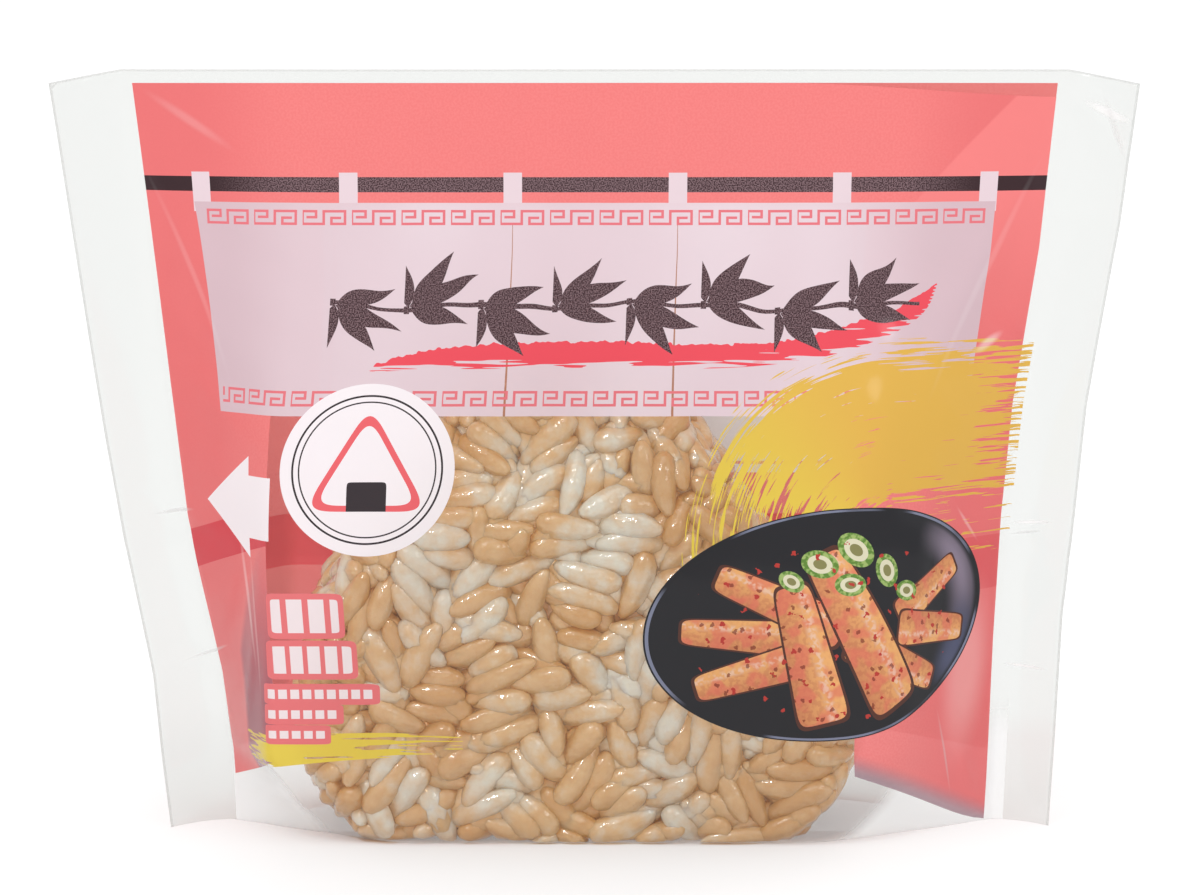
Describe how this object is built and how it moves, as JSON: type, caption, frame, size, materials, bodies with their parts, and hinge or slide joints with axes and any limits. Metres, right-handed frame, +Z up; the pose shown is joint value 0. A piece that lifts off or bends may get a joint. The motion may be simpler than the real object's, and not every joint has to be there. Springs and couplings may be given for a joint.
{
  "type": "onigiri rice ball",
  "caption": "Triangular onigiri rice ball in a sealed clear film pack with a printed curtain design, seal fins at both sides, standing upright on its flat base.",
  "frame": {"origin": "centre of the pack's outline on the surface it stands on", "axes": "+Z up, the printed front faces -Y, +X to the right as seen from the front"},
  "size_m": [0.1392, 0.0372, 0.098],
  "materials": {
    "printed_film": "thin clear film, smooth and glossy, printed in coral pink with a window over the rice"
  },
  "bodies": {
    "root": {"film_pack": "printed_film"}
  },
  "joints": []
}
